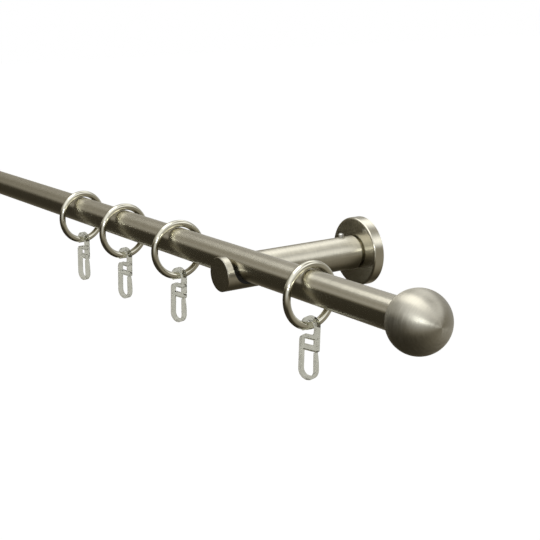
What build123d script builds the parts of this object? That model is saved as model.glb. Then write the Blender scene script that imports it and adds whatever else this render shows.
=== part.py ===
from build123d import *
import math
import os

# Curtain rod on two wall brackets, with ball finials, curtain rings and pleat hooks.
# Millimetres. The origin is on the wall, midway between the brackets, level with their arms.
# +X runs along the rod, +Y into the wall and +Z up.

# Tube
tube_diameter = 20.0
tube_wall = 1.2
tube_length = 1040.0

# Ball finial, the plug in the tube's end and the stud between them
ball_diameter = 36.0
ball_seat_margin = 0.4
plug_length = 22.0
plug_clearance = 0.1
stud_diameter = 6.0
stud_engagement = 14.0
thread_clearance = 0.05

# Bracket arm with the open cradle that the tube lies in
bracket_inset = 159.0
wall_distance = 97.5
rod_rise = 5.4
arm_diameter = 22.5
cradle_gap = 2.0
cradle_front_wall = 4.5
arm_face_chamfer = 0.5
arm_neck_length = 1.4
arm_neck_depth = 2.6

# Plastic saddle that fills the cradle under the tube
saddle_width = 18.0
saddle_span = 150.0
saddle_clearance = 0.1

# Rosette that covers the wall plate
rosette_diameter = 46.5
rosette_thickness = 7.6
rosette_rim = 2.2
rosette_edge_round = 1.3

# Wall plate with the spigot that the arm slides on
plate_thickness = 3.6
plate_clearance = 0.25
spigot_diameter = 14.0
spigot_engagement = 20.0
spigot_clearance = 0.15
spigot_end_chamfer = 1.0
wall_screw_hole = 5.0
wall_screw_spacing = 25.0
wall_screw_head = 9.0

# Grub screws: one holds the arm on the spigot, one locks the tube from below
screw_diameter = 4.0
screw_chamfer = 0.8
hex_socket = 2.0
hex_socket_depth = 2.0
arm_screw_offset = 10.4
arm_screw_stand = 2.8
lock_screw_recess = 0.3
screw_tip_gap = 0.05

# Curtain rings, which hang on the tube: place from the right bracket and turn about the vertical
ring_inner_diameter = 32.0
ring_wire = 4.8
hang_gap = 0.3
ring_places = [-239.8, -165.8, -82.6, 75.9]
ring_turns = [8.4, 4.2, 0.0, 7.2]

# Pleat hooks, one on each ring: an open eye over the wire, a stem and a springy loop
hook_turns = [8.0, 14.5, 16.0, 22.0]
hook_lean = 3.4
hook_thickness = 4.0
hook_edge_chamfer = 0.4
eye_inner_radius = 3.4
eye_wall = 2.7
eye_gap = 0.6
eye_sweep = 205.0
stem_length = 15.0
loop_left = -6.6
loop_right = 6.1
loop_bar = 2.1
loop_top = -5.8
loop_bottom = -33.6
top_bar = 2.1
throat_round = 3.4
loop_corner = 3.4
bridge_height = 2.9
tongue_root_width = 2.1
tongue_tip_width = 1.0
tongue_gap = 0.6

tube_radius = tube_diameter / 2
tube_bore_radius = tube_radius - tube_wall
bracket_x = tube_length / 2 - bracket_inset
rod_y = -wall_distance
rod_z = rod_rise
arm_radius = arm_diameter / 2
cradle_radius = tube_radius + cradle_gap
arm_front = rod_y - cradle_radius - cradle_front_wall
arm_back = -rosette_thickness
rosette_radius = rosette_diameter / 2
recess_radius = rosette_radius - rosette_rim
recess_depth = plate_thickness + plate_clearance
plate_radius = recess_radius - plate_clearance
spigot_radius = spigot_diameter / 2
spigot_end = arm_back - spigot_engagement
spigot_hole_radius = spigot_radius + spigot_clearance
screw_radius = screw_diameter / 2
screw_hole_radius = screw_radius + thread_clearance
arm_screw_y = arm_back - arm_screw_offset
ring_inner_radius = ring_inner_diameter / 2
ring_radius = ring_inner_radius + ring_wire / 2
ring_z = rod_z + tube_radius + hang_gap - ring_inner_radius
eye_outer_radius = eye_inner_radius + eye_wall
eye_drop = eye_inner_radius - ring_wire / 2 - eye_gap


def along_y(radius, start, end, x=0.0, z=0.0):
    """A cylinder with its axis along Y, from start to end."""
    return Pos(x, (start + end) / 2, z) * Rot(90, 0, 0) * Cylinder(radius, abs(end - start))


def along_z(radius, start, end, x=0.0, y=0.0):
    """A cylinder with its axis along Z, from start to end."""
    return Pos(x, y, (start + end) / 2) * Cylinder(radius, abs(end - start))


def along_x(radius, start, end):
    """A cylinder with its axis along X, from start to end."""
    return Pos((start + end) / 2, 0, 0) * Rot(0, 90, 0) * Cylinder(radius, abs(end - start))


def turned_about_y(points):
    """A turned piece from its half section, given as radius and Y."""
    return revolve(make_face(Polyline(*points, close=True)), Axis.Y)


def rod_tube():
    half = tube_length / 2
    return Pos(0, rod_y, rod_z) * (along_x(tube_radius, -half, half) - along_x(tube_bore_radius, -half, half))


# The finial's pieces are drawn with the tube's end face at X = 0 and the ball towards +X.
ball_radius = ball_diameter / 2
seat_radius = tube_radius + ball_seat_margin
ball_offset = math.sqrt(ball_radius**2 - seat_radius**2)


def finial_ball():
    ball = Pos(ball_offset, 0, 0) * Sphere(ball_radius)
    seat = Pos(-ball_radius, 0, 0) * Box(ball_diameter, ball_diameter, ball_diameter)
    return ball - seat - along_x(stud_diameter / 2 + thread_clearance, 0, stud_engagement)


def finial_stud():
    stud = along_x(stud_diameter / 2, -stud_engagement, stud_engagement - plug_clearance)
    return chamfer(stud.edges().filter_by(GeomType.CIRCLE), screw_chamfer)


def tube_plug():
    plug = along_x(tube_bore_radius - plug_clearance, -plug_length, 0)
    inner_end = plug.faces().sort_by(Axis.X)[0]
    plug = chamfer(inner_end.edges(), screw_chamfer)
    return plug - along_x(stud_diameter / 2 + thread_clearance, -plug_length, 0)


# The bracket's pieces are drawn with the arm's axis on Y and the wall at Y = 0.
def cradle_cutter():
    """The U-shaped slot across the arm, round under the tube and open at the top."""
    slot = Pos(0, rod_y, rod_z) * along_x(cradle_radius, -arm_diameter, arm_diameter)
    mouth = Box(2 * arm_diameter, 2 * cradle_radius, arm_diameter, align=(Align.CENTER, Align.CENTER, Align.MIN))
    return slot + Pos(0, rod_y, rod_z) * mouth


def bracket_arm():
    shoulder = arm_back - arm_neck_length
    arm = along_y(arm_radius, arm_front, shoulder)
    front_rim = arm.edges().filter_by(GeomType.CIRCLE).sort_by(Axis.Y)[0]
    arm = chamfer(front_rim, arm_face_chamfer)
    arm += along_y(arm_radius - arm_neck_depth, shoulder, arm_back)
    arm -= cradle_cutter()
    arm -= along_y(spigot_hole_radius, spigot_end - spigot_clearance, arm_back)
    arm -= along_z(screw_hole_radius, 0, arm_diameter, y=arm_screw_y)
    return arm - along_z(screw_hole_radius, -arm_diameter, rod_z, y=rod_y)


def rod_saddle():
    outer = along_x(cradle_radius - saddle_clearance, -saddle_width / 2, saddle_width / 2)
    inner = along_x(tube_radius + saddle_clearance, -saddle_width, saddle_width)
    top = (cradle_radius - saddle_clearance) * math.cos(math.radians(saddle_span / 2))
    cap = Pos(0, 0, -top) * Box(arm_diameter * 2, arm_diameter * 2, arm_diameter * 2,
                                align=(Align.CENTER, Align.CENTER, Align.MIN))
    saddle = Pos(0, rod_y, rod_z) * (outer - inner - cap)
    return saddle - along_z(screw_hole_radius, -arm_diameter, rod_z, y=rod_y)


def rosette():
    section = make_face(Polyline(
        (spigot_hole_radius, -rosette_thickness),
        (rosette_radius, -rosette_thickness),
        (rosette_radius, 0),
        (recess_radius, 0),
        (recess_radius, -recess_depth),
        (spigot_hole_radius, -recess_depth),
        close=True,
    ))
    front_edge = section.vertices().sort_by_distance((rosette_radius, -rosette_thickness))[0]
    return revolve(fillet(front_edge, rosette_edge_round), Axis.Y)


def wall_plate():
    plate = turned_about_y([
        (0, 0),
        (plate_radius, 0),
        (plate_radius, -plate_thickness),
        (spigot_radius, -plate_thickness),
        (spigot_radius, spigot_end + spigot_end_chamfer),
        (spigot_radius - spigot_end_chamfer, spigot_end),
        (0, spigot_end),
    ])
    hole_radius = wall_screw_hole / 2
    head_radius = wall_screw_head / 2
    sink_depth = head_radius - hole_radius
    for z in (-wall_screw_spacing / 2, wall_screw_spacing / 2):
        plate -= along_y(hole_radius, -plate_thickness, 0, z=z)
        sink = Pos(0, -plate_thickness + sink_depth / 2, z) * Rot(90, 0, 0)
        plate -= sink * Cone(hole_radius, head_radius, sink_depth)
    return plate


def grub_screw(length):
    """A headless screw standing on Z = 0, with its hexagon socket at the top."""
    body = Pos(0, 0, length / 2) * Cylinder(screw_radius, length)
    body = chamfer(body.edges().filter_by(GeomType.CIRCLE), screw_chamfer)
    socket = extrude(RegularPolygon(hex_socket / 2, 6, major_radius=False), hex_socket_depth)
    return body - Pos(0, 0, length - hex_socket_depth) * socket


def arm_set_screw():
    tip = spigot_radius + screw_tip_gap
    return Pos(0, arm_screw_y, tip) * grub_screw(arm_radius + arm_screw_stand - tip)


def rod_lock_screw():
    tip = rod_z - tube_radius - screw_tip_gap
    head = -arm_radius + lock_screw_recess
    return Pos(0, rod_y, tip) * Rot(180, 0, 0) * grub_screw(tip - head)


def curtain_ring(x, turn):
    return Pos(x, rod_y, ring_z) * Rot(0, 0, turn) * Rot(0, 90, 0) * Torus(ring_radius, ring_wire / 2)


def hook_profile():
    """The hook's outline, with the eye's centre at the origin and the loop below it."""
    eye = SlotArc(CenterArc((0, 0), eye_inner_radius + eye_wall / 2, 0, eye_sweep), eye_wall)
    stem_left = eye_inner_radius
    stem_right = eye_outer_radius
    stem = Pos((stem_left + stem_right) / 2, -stem_length / 2) * Rectangle(eye_wall, stem_length)

    # The loop's frame: a top bar, a left bar and a round bottom that ends under the tongue
    sweep_radius = (loop_right - loop_left) / 2
    sweep_x = (loop_right + loop_left) / 2
    sweep_y = loop_bottom + sweep_radius
    side_height = loop_top - sweep_y
    frame = Pos(sweep_x, (loop_top + sweep_y) / 2) * Rectangle(2 * sweep_radius, side_height)
    frame = fillet(frame.vertices().sort_by_distance((loop_left, loop_top))[0], loop_corner)
    frame += Pos(sweep_x, sweep_y) * Circle(sweep_radius)
    inner_radius = sweep_radius - loop_bar
    window_top = loop_top - top_bar
    window = Pos(sweep_x, (window_top + sweep_y) / 2) * Rectangle(2 * inner_radius, window_top - sweep_y)
    window = fillet(window.vertices().sort_by_distance((loop_left, loop_top))[0], loop_corner - loop_bar)
    window += Pos(sweep_x, sweep_y) * Circle(inner_radius)
    right_gap = Pos(stem_left, sweep_y) * Rectangle(loop_right, side_height, align=(Align.MIN, Align.MIN))
    frame = frame - window - right_gap

    bridge_bottom = -stem_length
    bridge = Pos(loop_left + loop_bar / 2, bridge_bottom) * Rectangle(
        stem_left - loop_left, bridge_height, align=(Align.MIN, Align.MIN))

    # The tongue leans in from the bottom's right end and tapers to a tip just under the stem
    tip_y = -stem_length - tongue_gap
    tip_left = stem_left + (eye_wall - tongue_tip_width) / 2 - tongue_tip_width / 2
    tip_right = tip_left + tongue_tip_width
    middle_y = (tip_y + sweep_y) / 2
    bulge = (loop_right - tip_right) / 4
    outer_middle = ((loop_right + tip_right) / 2 + bulge, middle_y)
    root_left = loop_right - tongue_root_width
    inner_middle = ((root_left + tip_left) / 2 - bulge / 4, middle_y)
    tongue = make_face([
        ThreePointArc((loop_right, sweep_y), outer_middle, (tip_right, tip_y)),
        Line((tip_right, tip_y), (tip_left, tip_y)),
        ThreePointArc((tip_left, tip_y), inner_middle, (root_left, sweep_y)),
        Line((root_left, sweep_y), (loop_right, sweep_y)),
    ])
    outline = eye + stem + frame + bridge + tongue
    throat = outline.vertices().sort_by_distance((stem_left, loop_top))[0]
    return fillet(throat, throat_round)


def pleat_hook():
    """The hook standing in the XZ plane, with the middle of the ring's wire at the origin."""
    flat = extrude(hook_profile(), hook_thickness / 2, both=True)
    rims = flat.faces().filter_by(Axis.Z).edges()
    return Rot(0, hook_lean, 0) * Pos(0, 0, -eye_drop) * Rot(90, 0, 0) * chamfer(rims, hook_edge_chamfer)


def hook_on_ring(hook, x, turn):
    return Pos(x, rod_y, ring_z - ring_radius) * Rot(0, 0, turn) * hook


def write(name, piece):
    piece.label = name
    export_step(piece, os.path.join("parts", name + ".step"))


os.makedirs("parts", exist_ok=True)
write("rod_tube", rod_tube())

for side, sign in (("right", 1), ("left", -1)):
    end = Pos(sign * tube_length / 2, rod_y, rod_z) * Rot(0, 0, 90 - 90 * sign)
    write("finial_ball_" + side, end * finial_ball())
    write("finial_stud_" + side, end * finial_stud())
    write("tube_plug_" + side, end * tube_plug())
    wall = Pos(sign * bracket_x, 0, 0)
    write("bracket_arm_" + side, wall * bracket_arm())
    write("rod_saddle_" + side, wall * rod_saddle())
    write("rosette_" + side, wall * rosette())
    write("wall_plate_" + side, wall * wall_plate())
    write("arm_set_screw_" + side, wall * arm_set_screw())
    write("rod_lock_screw_" + side, wall * rod_lock_screw())

plain_hook = pleat_hook()
for number, (place, ring_turn, hook_turn) in enumerate(zip(ring_places, ring_turns, hook_turns), 1):
    write(f"ring_{number}", curtain_ring(bracket_x + place, ring_turn))
    write(f"hook_{number}", hook_on_ring(plain_hook, bracket_x + place, hook_turn))
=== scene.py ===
import math

import bmesh
import bpy
from mathutils import Matrix, Quaternion, Vector


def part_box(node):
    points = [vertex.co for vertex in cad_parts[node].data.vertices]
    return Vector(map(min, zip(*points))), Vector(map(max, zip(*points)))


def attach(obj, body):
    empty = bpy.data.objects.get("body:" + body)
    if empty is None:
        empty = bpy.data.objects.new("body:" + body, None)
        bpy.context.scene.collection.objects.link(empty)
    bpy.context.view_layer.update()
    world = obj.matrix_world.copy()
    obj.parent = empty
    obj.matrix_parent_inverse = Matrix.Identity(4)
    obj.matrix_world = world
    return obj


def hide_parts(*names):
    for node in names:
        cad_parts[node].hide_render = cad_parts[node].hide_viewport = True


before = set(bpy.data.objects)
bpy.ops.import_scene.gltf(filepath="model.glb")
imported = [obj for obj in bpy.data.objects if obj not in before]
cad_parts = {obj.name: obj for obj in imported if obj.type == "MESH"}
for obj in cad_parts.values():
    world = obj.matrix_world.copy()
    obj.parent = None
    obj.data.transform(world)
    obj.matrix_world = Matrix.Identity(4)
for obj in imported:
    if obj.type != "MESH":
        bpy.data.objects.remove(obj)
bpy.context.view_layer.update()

# The rod hangs on two brackets. Everything below is in metres, in the row's frame.
SIDES = ("right", "left")
RING_COUNT = 4
AXIS_X = 0
AXIS_Y = 1

tube_low, tube_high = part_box("rod_tube")
TUBE_CENTRE = (tube_low + tube_high) / 2
TUBE_RADIUS = (tube_high.z - tube_low.z) / 2
TUBE_WALL = 0.0012

# Metal colours as a bare surface reflects them
NICKEL = (0.64, 0.612, 0.512)
# The ball's nickel is the same metal made darker: painted shade, so that the ball looks less brightly lit
BALL_NICKEL_WITH_PAINTED_SHADE = (0.54, 0.517, 0.44)
POLISHED_NICKEL = (0.70, 0.68, 0.57)
ZINC = (0.62, 0.62, 0.60)


def centre_of(node):
    """The middle of a CAD node's box."""
    low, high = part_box(node)
    return (low + high) / 2


def clamp(value, low=0.0, high=1.0):
    return max(low, min(high, value))


def shade(colour, share):
    """A colour made darker or lighter."""
    return tuple(share * c for c in colour)


def fill(tree, socket, value):
    """Links a socket to another one, or sets its value."""
    if isinstance(value, bpy.types.NodeSocket):
        tree.links.new(value, socket)
    else:
        socket.default_value = value


def add_node(tree, kind, settings=None, **inputs):
    """A shader node with its properties set and its inputs filled. Input names use _ for spaces."""
    made = tree.nodes.new(kind)
    for key, value in (settings or {}).items():
        setattr(made, key, value)
    for key, value in inputs.items():
        fill(tree, made.inputs[key.replace("_", " ")], value)
    return made


def operation_node(tree, kind, operation, values):
    """A node for one sum, with its inputs filled in order."""
    made = add_node(tree, kind, {"operation": operation})
    for socket, value in zip(made.inputs, values):
        fill(tree, socket, value)
    return made


def math_node(tree, operation, *values):
    return operation_node(tree, "ShaderNodeMath", operation, values).outputs[0]


def vector_node(tree, operation, *values):
    made = operation_node(tree, "ShaderNodeVectorMath", operation, values)
    return made.outputs["Value" if operation == "LENGTH" else "Vector"]


def map_range(tree, value, low, high, to_low, to_high):
    made = add_node(
        tree, "ShaderNodeMapRange",
        Value=value, From_Min=low, From_Max=high, To_Min=to_low, To_Max=to_high,
    )
    return made.outputs["Result"]


def ramp(tree, value, low, high, first, second):
    """A colour that goes from the first to the second as the value goes from low to high."""
    made = add_node(tree, "ShaderNodeValToRGB", Fac=value)
    for element, place, colour in zip(made.color_ramp.elements, (low, high), (first, second)):
        element.position = place
        element.color = (*colour, 1.0)
    return made.outputs["Color"]


def noise(tree, place, scale, detail):
    """Soft noise about 0.5, with the given number of patches to the metre."""
    return add_node(tree, "ShaderNodeTexNoise", Vector=place, Scale=scale, Detail=detail).outputs[0]


def add_bump(tree, shader, height, strength, distance):
    bump = add_node(tree, "ShaderNodeBump", Height=height, Strength=strength, Distance=distance)
    tree.links.new(bump.outputs[0], shader.inputs["Normal"])


def new_material(name):
    material = bpy.data.materials.new(name)
    material.use_nodes = True
    tree = material.node_tree
    shader = tree.nodes["Principled BSDF"]
    return material, tree, shader


def set_inputs(shader, **values):
    for key, value in values.items():
        shader.inputs[key.replace("_", " ")].default_value = value


def own_place(tree):
    """A point's own place on its piece, in the row's frame at rest."""
    return add_node(tree, "ShaderNodeTexCoord").outputs["Object"]


def turned_coordinates(tree, centre, axis):
    """For a turned piece: distance along the axis, radius, and the two parts of the direction round it."""
    place = vector_node(tree, "SUBTRACT", own_place(tree), tuple(centre))
    parts = add_node(tree, "ShaderNodeSeparateXYZ", Vector=place).outputs
    along = parts[axis]
    first, second = [p for n, p in enumerate(parts) if n != axis]
    flat = add_node(tree, "ShaderNodeCombineXYZ", X=first, Y=second).outputs[0]
    radius = vector_node(tree, "LENGTH", flat)
    way = add_node(tree, "ShaderNodeSeparateXYZ", Vector=vector_node(tree, "NORMALIZE", flat)).outputs
    return along, radius, way[0], way[1]


def brushed_metal(name, centre, axis, roughness, streak, colour=NICKEL, marks=0.12, end_share=1.0):
    """Satin metal brushed round an axis. Marks says how far the brush marks differ in tone, and end_share
    how rough a face across the axis is beside the others."""
    groove_density = 2600.0
    groove_turns = 5.0
    band_stretch = (0.35, 0.35, 0.5)
    stain_density = 90.0
    groove_share = 0.35
    band_share = 0.40
    stain_share = 0.25
    tone_low = 0.36
    tone_high = 0.64
    rough_marks = 1.4 * marks
    axis_lean = 0.05

    material, tree, shader = new_material(name)
    along, radius, way_a, way_b = turned_coordinates(tree, centre, axis)
    across = add_node(
        tree, "ShaderNodeCombineXYZ",
        X=math_node(tree, "MULTIPLY", along, groove_density),
        Y=math_node(tree, "MULTIPLY", radius, groove_density),
        Z=math_node(tree, "MULTIPLY", way_a, groove_turns),
    ).outputs[0]
    grooves = add_node(
        tree, "ShaderNodeTexNoise", {"noise_dimensions": "4D"},
        Vector=across, W=math_node(tree, "MULTIPLY", way_b, groove_turns),
        Scale=1.0, Detail=3.0, Roughness=0.6,
    ).outputs[0]
    bands = add_node(
        tree, "ShaderNodeTexNoise", {"noise_dimensions": "4D"},
        Vector=vector_node(tree, "MULTIPLY", across, band_stretch),
        W=math_node(tree, "MULTIPLY", way_b, groove_turns / 2),
        Scale=1.0, Detail=2.0,
    ).outputs[0]
    stains = noise(tree, own_place(tree), stain_density, detail=3.0)
    scratches = math_node(
        tree, "MULTIPLY_ADD", grooves, groove_share, math_node(tree, "MULTIPLY", bands, band_share),
    )
    tone = math_node(tree, "MULTIPLY_ADD", stains, stain_share, scratches)
    tinted = ramp(tree, tone, tone_low, tone_high, shade(colour, 1 - marks), shade(colour, 1 + marks))
    tree.links.new(tinted, shader.inputs["Base Color"])

    facing = add_node(tree, "ShaderNodeNewGeometry").outputs["Normal"]
    lengthwise = add_node(tree, "ShaderNodeSeparateXYZ", Vector=facing).outputs[axis]
    end = math_node(tree, "ABSOLUTE", lengthwise)
    rough = map_range(
        tree, tone, tone_low, tone_high, roughness * (1 - rough_marks), roughness * (1 + rough_marks),
    )
    rough = math_node(tree, "MULTIPLY", rough, map_range(tree, end, 0.0, 1.0, 1.0, end_share))
    tree.links.new(rough, shader.inputs["Roughness"])
    add_bump(tree, shader, grooves, strength=0.10, distance=0.00004)

    # The axis leans a little, so that the grain has a direction on an end face too
    grain_axis = [0.0, 0.0, axis_lean]
    grain_axis[axis] = 1.0
    grain = vector_node(tree, "NORMALIZE", vector_node(tree, "CROSS_PRODUCT", tuple(grain_axis), facing))
    tree.links.new(grain, shader.inputs["Tangent"])
    set_inputs(shader, Metallic=1.0, Anisotropic=streak, Anisotropic_Rotation=0.25)
    return material


def polished_metal(name):
    """Polished wire with faint drawing marks."""
    material, tree, shader = new_material(name)
    place = own_place(tree)
    waves = noise(tree, place, scale=140.0, detail=1.0)
    haze = noise(tree, place, scale=1400.0, detail=3.0)
    tinted = ramp(tree, waves, 0.35, 0.65, shade(POLISHED_NICKEL, 0.93), POLISHED_NICKEL)
    tree.links.new(tinted, shader.inputs["Base Color"])
    tree.links.new(map_range(tree, haze, 0.3, 0.7, 0.04, 0.08), shader.inputs["Roughness"])
    add_bump(tree, shader, waves, strength=0.02, distance=0.0002)
    set_inputs(shader, Metallic=1.0)
    return material


def hook_plastic(name):
    """Clear moulded plastic, a little grey and cloudy."""
    clouded = (0.42, 0.415, 0.35)
    clearer = (0.48, 0.475, 0.41)
    material, tree, shader = new_material(name)
    place = own_place(tree)
    cloud = noise(tree, place, scale=160.0, detail=2.0)
    skin = noise(tree, place, scale=420.0, detail=1.0)
    tree.links.new(ramp(tree, cloud, 0.35, 0.65, clouded, clearer), shader.inputs["Base Color"])
    tree.links.new(map_range(tree, skin, 0.3, 0.7, 0.01, 0.03), shader.inputs["Roughness"])
    set_inputs(shader, IOR=1.25, Transmission_Weight=0.95)
    return material


def black_plastic(name):
    """Dull black plastic with a fine grain. On the rod saddle its black is also painted shade: it stands in
    for the dark gap round the rod in the slot.
    """
    black = (0.006, 0.006, 0.006)
    dark_grey = (0.014, 0.014, 0.014)
    material, tree, shader = new_material(name)
    grain = noise(tree, own_place(tree), scale=2500.0, detail=2.0)
    tree.links.new(ramp(tree, grain, 0.3, 0.7, black, dark_grey), shader.inputs["Base Color"])
    tree.links.new(map_range(tree, grain, 0.3, 0.7, 0.5, 0.65), shader.inputs["Roughness"])
    add_bump(tree, shader, grain, strength=0.15, distance=0.0001)
    return material


def zinc_steel(name):
    """Zinc-plated steel with a faint spangle."""
    material, tree, shader = new_material(name)
    spangle = noise(tree, own_place(tree), scale=500.0, detail=3.0)
    tree.links.new(ramp(tree, spangle, 0.35, 0.65, shade(ZINC, 0.85), ZINC), shader.inputs["Base Color"])
    tree.links.new(map_range(tree, spangle, 0.3, 0.7, 0.22, 0.36), shader.inputs["Roughness"])
    add_bump(tree, shader, spangle, strength=0.05, distance=0.0002)
    set_inputs(shader, Metallic=1.0)
    return material


def dress(node, material):
    """Gives a CAD node's object its material."""
    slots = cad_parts[node].data.materials
    slots.clear()
    slots.append(material)


def new_object(name, mesh, material):
    thing = bpy.data.objects.new(name, mesh)
    bpy.context.scene.collection.objects.link(thing)
    mesh.materials.append(material)
    return thing


def mesh_from(shape, name):
    """A mesh from a bmesh, which is freed."""
    mesh = bpy.data.meshes.new(name)
    shape.to_mesh(mesh)
    shape.free()
    return mesh


def new_piece(name, mesh, material, body):
    piece = new_object(name, mesh, material)
    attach(piece, body)
    return piece


def lathe_along_x(name, profile, centre, segments):
    """A closed turned mesh about a line along X, from a ring-shaped section given as (x, radius) points."""
    shape = bmesh.new()
    rings = []
    for x, radius in profile:
        ring = []
        for n in range(segments):
            angle = 2 * math.pi * n / segments
            spoke = Vector((x, radius * math.cos(angle), radius * math.sin(angle)))
            ring.append(shape.verts.new(centre + spoke))
        rings.append(ring)
    for n, ring in enumerate(rings):
        after = rings[(n + 1) % len(rings)]
        for m in range(segments):
            k = (m + 1) % segments
            shape.faces.new((ring[m], ring[k], after[k], after[m]))
    bmesh.ops.recalc_face_normals(shape, faces=shape.faces)
    mesh = mesh_from(shape, name)
    mesh.shade_smooth()
    return mesh


def smooth_tube(material):
    """The tube as a fine turned mesh, with its edges just broken."""
    edge = 0.0002
    stations = 26
    segments = 144
    sharp_angle = math.radians(30)
    half = (tube_high.x - tube_low.x) / 2
    bore = TUBE_RADIUS - TUBE_WALL
    step = (2 * half - 2 * edge) / stations
    outside = [(-half + edge + step * n, TUBE_RADIUS) for n in range(stations + 1)]
    broken = TUBE_RADIUS - edge
    profile = [(-half, broken), *outside, (half, broken), (half, bore), (-half, bore)]
    mesh = lathe_along_x("tube", profile, TUBE_CENTRE, segments)
    mesh.set_sharp_from_angle(angle=sharp_angle)
    tube = new_piece("tube", mesh, material, "rod")
    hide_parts("rod_tube")


def dress_bracket_and_ball(side, plastic, zinc):
    """The finishes of one end: its ball, its bracket and what is hidden in them."""
    ball = "finial_ball_" + side
    rosette = "rosette_" + side
    # The ball's colour is the darker nickel, painted shade
    ball_metal = brushed_metal(
        "ball_brushed_" + side, centre_of(ball), AXIS_X, roughness=0.39, streak=0.85, colour=BALL_NICKEL_WITH_PAINTED_SHADE,
    )
    rosette_metal = brushed_metal(
        "rosette_brushed_" + side, centre_of(rosette), AXIS_Y, roughness=0.22, streak=0.5, marks=0.07,
    )
    arm_metal = brushed_metal(
        "arm_brushed_" + side, centre_of(rosette), AXIS_Y,
        roughness=0.34, streak=0.97, marks=0.10, end_share=0.55,
    )
    dress(ball, ball_metal)
    dress(rosette, rosette_metal)
    dress("bracket_arm_" + side, arm_metal)
    # The rod saddle's black is painted shade that darkens the gap round the rod in the slot; the tube plugs
    # are black plastic
    for name in ("rod_saddle_", "tube_plug_"):
        dress(name + side, plastic)
    for name in ("wall_plate_", "arm_set_screw_", "rod_lock_screw_", "finial_stud_"):
        dress(name + side, zinc)


def dress_rings_and_hooks():
    wire = polished_metal("polished_nickel")
    clear = hook_plastic("hook_plastic")
    for number in range(1, RING_COUNT + 1):
        dress(f"ring_{number}", wire)
        dress(f"hook_{number}", clear)


def stage_object(name, mesh, material):
    thing = new_object(name, mesh, material)
    return thing


def background_ray(tree):
    """1 for rays that look at the background: straight, in a mirror or through something clear."""
    path = add_node(tree, "ShaderNodeLightPath").outputs
    seen = math_node(tree, "MAXIMUM", path["Is Camera Ray"], path["Is Glossy Ray"])
    return math_node(tree, "MAXIMUM", seen, path["Is Transmission Ray"])


def white_world():
    """A world that looks white and gives a little less light than that."""
    lit_strength = 0.6
    seen_strength = 1.0
    world = bpy.data.worlds.new("white")
    bpy.context.scene.world = world
    world.use_nodes = True
    tree = world.node_tree
    light = tree.nodes["Background"]
    light.inputs["Color"].default_value = (1.0, 1.0, 1.0, 1.0)
    strength = map_range(tree, background_ray(tree), 0.0, 1.0, lit_strength, seen_strength)
    tree.links.new(strength, light.inputs["Strength"])


def pale_floor():
    """A wide pale floor far below the rod. A little glow keeps it as white as the background."""
    floor_z = -2.4
    half = 40.0
    glow_strength = 0.5
    material, tree, shader = new_material("floor")
    set_inputs(
        shader, Base_Color=(0.86, 0.86, 0.86, 1.0), Roughness=0.9, Specular_IOR_Level=0.0,
        Emission_Color=(1.0, 1.0, 1.0, 1.0),
    )
    glow = map_range(tree, background_ray(tree), 0.0, 1.0, 0.0, glow_strength)
    tree.links.new(glow, shader.inputs["Emission Strength"])
    shape = bmesh.new()
    corners = [(-half, -half), (half, -half), (half, half), (-half, half)]
    shape.faces.new([shape.verts.new((x, y, floor_z)) for x, y in corners])
    floor = stage_object("floor", mesh_from(shape, "floor"), material)
    floor.visible_glossy = False


# The room that the metal mirrors has a dark floor, a bright ceiling and soft cards that stand about it,
# each with its middle in degrees round from the front by way of the right end, its middle in degrees above
# the horizon, half its width, half its height and its tone. A later card lies over an earlier one.
FLOOR_TONE = 0.04
CEILING_TONE = 1.3
CEILING_STARTS = 10.0
CEILING_FULL = 74.0
CARD_SOFTNESS = 0.8
ROOM_CARDS = {
    "right_wall": (70, 25, 45, 35, 0.9),
    "window": (40, 45, 40, 15, 1.3),
    "right_low_wall": (130, -20, 40, 30, 0.3),
    "back_wall": (205, 0, 45, 30, 0.6),
    "flash": (135, 30, 25, 12, 1.6),
    "dark_door": (155, 55, 25, 15, 0.4),
    "ceiling_strip": (210, 45, 20, 12, 1.8),
    "left_lamp": (305, 20, 20, 8, 0.5),
    "left_beam": (295, 30, 15, 8, 0.3),
}

# Dim parts of the room are warmer than bright ones
DIM_TINT = Vector((1.0, 0.87, 0.60))
BRIGHT_TINT = Vector((1.0, 1.0, 1.0))
DIM_LEVEL = 0.08
BRIGHT_LEVEL = 0.6


def smooth(share):
    """0 to 1 without a kink at either end."""
    share = clamp(share)
    return share * share * (3 - 2 * share)


def cover(away, half):
    """How much a soft-edged card covers at a distance from its middle."""
    return smooth((half * (1 + CARD_SOFTNESS) - abs(away)) / (2 * CARD_SOFTNESS * half))


def room_tone(way):
    """The room's brightness towards a direction."""
    height = math.degrees(math.asin(clamp(way.z, -1.0)))
    turn = math.degrees(math.atan2(way.x, -way.y))
    rise = smooth((height - CEILING_STARTS) / (CEILING_FULL - CEILING_STARTS))
    tone = FLOOR_TONE + (CEILING_TONE - FLOOR_TONE) * rise
    for card_turn, card_height, half_width, half_height, card_tone in ROOM_CARDS.values():
        aside = (turn - card_turn + 180) % 360 - 180
        tone += (card_tone - tone) * cover(aside, half_width) * cover(height - card_height, half_height)
    return tone


def room_colour(way):
    """The room's colour towards a direction."""
    level = room_tone(way)
    share = clamp((level - DIM_LEVEL) / (BRIGHT_LEVEL - DIM_LEVEL))
    return (*(level * DIM_TINT.lerp(BRIGHT_TINT, share)), 1.0)


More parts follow.
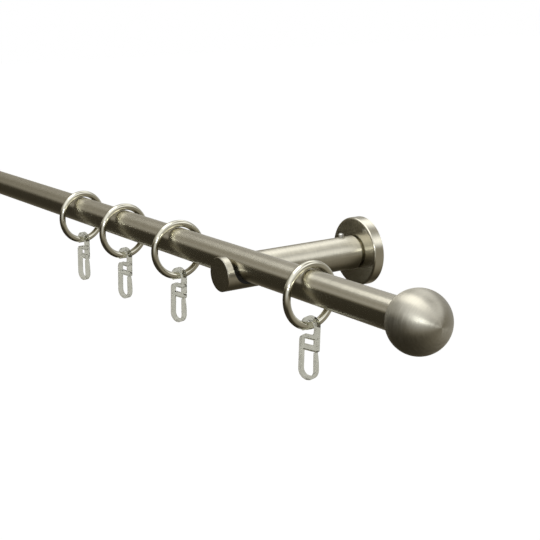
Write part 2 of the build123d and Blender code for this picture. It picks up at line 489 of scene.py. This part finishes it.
def mirrored_room():
    """A wide shell that only mirror rays see, so that the metal has a dim room to reflect."""
    middle = Vector((0.3, -0.09, 0.0))
    radius = 8.0
    material = bpy.data.materials.new("mirrored_room")
    material.use_nodes = True
    tree = material.node_tree
    tree.nodes.remove(tree.nodes["Principled BSDF"])
    tone = add_node(tree, "ShaderNodeVertexColor", {"layer_name": "tone"}).outputs["Color"]
    glow = add_node(tree, "ShaderNodeEmission", Color=tone)
    tree.links.new(glow.outputs[0], tree.nodes["Material Output"].inputs["Surface"])
    shape = bmesh.new()
    bmesh.ops.create_uvsphere(shape, u_segments=72, v_segments=36, radius=radius)
    mesh = mesh_from(shape, "mirrored_room")
    tones = mesh.color_attributes.new("tone", "FLOAT_COLOR", "POINT")
    for vertex in mesh.vertices:
        tones.data[vertex.index].color = room_colour(vertex.co.normalized())
    room = stage_object("mirrored_room", mesh, material)
    room.location = middle
    room.visible_camera = False
    room.visible_diffuse = False
    room.visible_transmission = False
    room.visible_shadow = False


def soft_lamp(name, place, target, width, height, watts, colour):
    """A soft box that faces its target."""
    data = bpy.data.lights.new(name, "AREA")
    data.shape = "RECTANGLE"
    data.size = width
    data.size_y = height
    data.energy = watts
    data.color = colour
    lamp = bpy.data.objects.new(name, data)
    bpy.context.scene.collection.objects.link(lamp)
    lamp.location = place
    lamp.rotation_mode = "QUATERNION"
    lamp.rotation_quaternion = (Vector(target) - Vector(place)).to_track_quat("-Z", "Y")
    lamp.visible_camera = False


# The photograph's camera: its roll is in degrees, clockwise
CAMERA_PLACE = Vector((0.9923, -0.4881, 0.1777))
CAMERA_TARGET = Vector((0.3945, -0.0975, 0.0069))
CAMERA_ROLL = 1.29
CAMERA_LENS_MM = 79.7
CAMERA_SENSOR_MM = 36.0


def photo_camera():
    """The camera where the photograph was taken from."""
    data = bpy.data.cameras.new("camera")
    data.lens = CAMERA_LENS_MM
    data.sensor_width = CAMERA_SENSOR_MM
    data.clip_start = 0.01
    camera = bpy.data.objects.new("camera", data)
    bpy.context.scene.collection.objects.link(camera)
    aim = (CAMERA_TARGET - CAMERA_PLACE).to_track_quat("-Z", "Y")
    roll = Quaternion((0.0, 0.0, 1.0), math.radians(-CAMERA_ROLL))
    camera.matrix_world = Matrix.LocRotScale(CAMERA_PLACE, aim @ roll, None)
    bpy.context.scene.camera = camera


# Every piece gets its finish
smooth_tube(brushed_metal("tube_brushed", TUBE_CENTRE, AXIS_X, roughness=0.20, streak=0.80, marks=0.05))
black = black_plastic("black_plastic")
plated = zinc_steel("zinc_steel")
for side in SIDES:
    dress_bracket_and_ball(side, black, plated)
dress_rings_and_hooks()

# The stage
white_world()
pale_floor()
mirrored_room()
soft_lamp(
    "ceiling_box", place=(0.0, -0.28, 1.6), target=(0.0, -0.28, 0.0),
    width=2.46, height=0.88, watts=8.0, colour=(1.0, 0.985, 0.94),
)
soft_lamp(
    "camera_box", place=(1.16, -0.53, 0.28), target=(0.42, -0.09, 0.0),
    width=0.20, height=0.20, watts=1.2, colour=(0.94, 0.98, 1.0),
)
photo_camera()
bpy.context.scene.view_settings.view_transform = "Standard"
